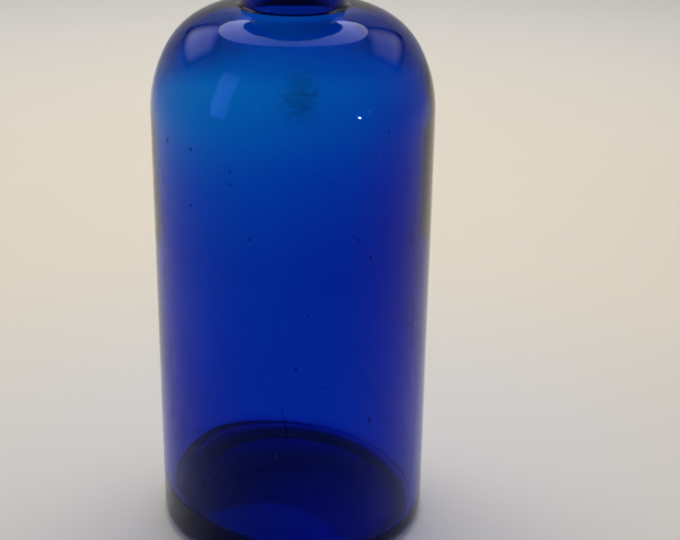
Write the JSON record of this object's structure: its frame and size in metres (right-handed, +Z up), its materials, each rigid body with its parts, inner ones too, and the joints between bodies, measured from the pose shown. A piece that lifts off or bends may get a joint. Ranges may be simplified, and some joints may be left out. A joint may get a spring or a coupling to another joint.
{
  "type": "antique glass bottle",
  "caption": "Round-shouldered blue glass bottle with a straight body, a short neck with a laid-on lip, and a tapered cork that pulls out.",
  "frame": {"origin": "on the bottle's axis, at the plane of the foot ring that it stands on", "axes": "+Z up along the bottle's axis of revolution, towards the mouth. The body is round, so +X and +Y are free"},
  "size_m": [0.076, 0.076, 0.194],
  "materials": {
    "cobalt_glass": "fire-polished, deep cobalt blue, a few seeds",
    "cork": "natural cork, dry and matte"
  },
  "bodies": {
    "bottle": {"glass_vessel": "cobalt_glass", "applied_lip": "cobalt_glass"},
    "cork": {"cork_stopper": "cork"}
  },
  "joints": [
    {"name": "cork_pull", "type": "slide", "parent": "bottle", "child": "cork", "axis": [0, 0, 1], "range_m": [0, 0.03]}
  ]
}
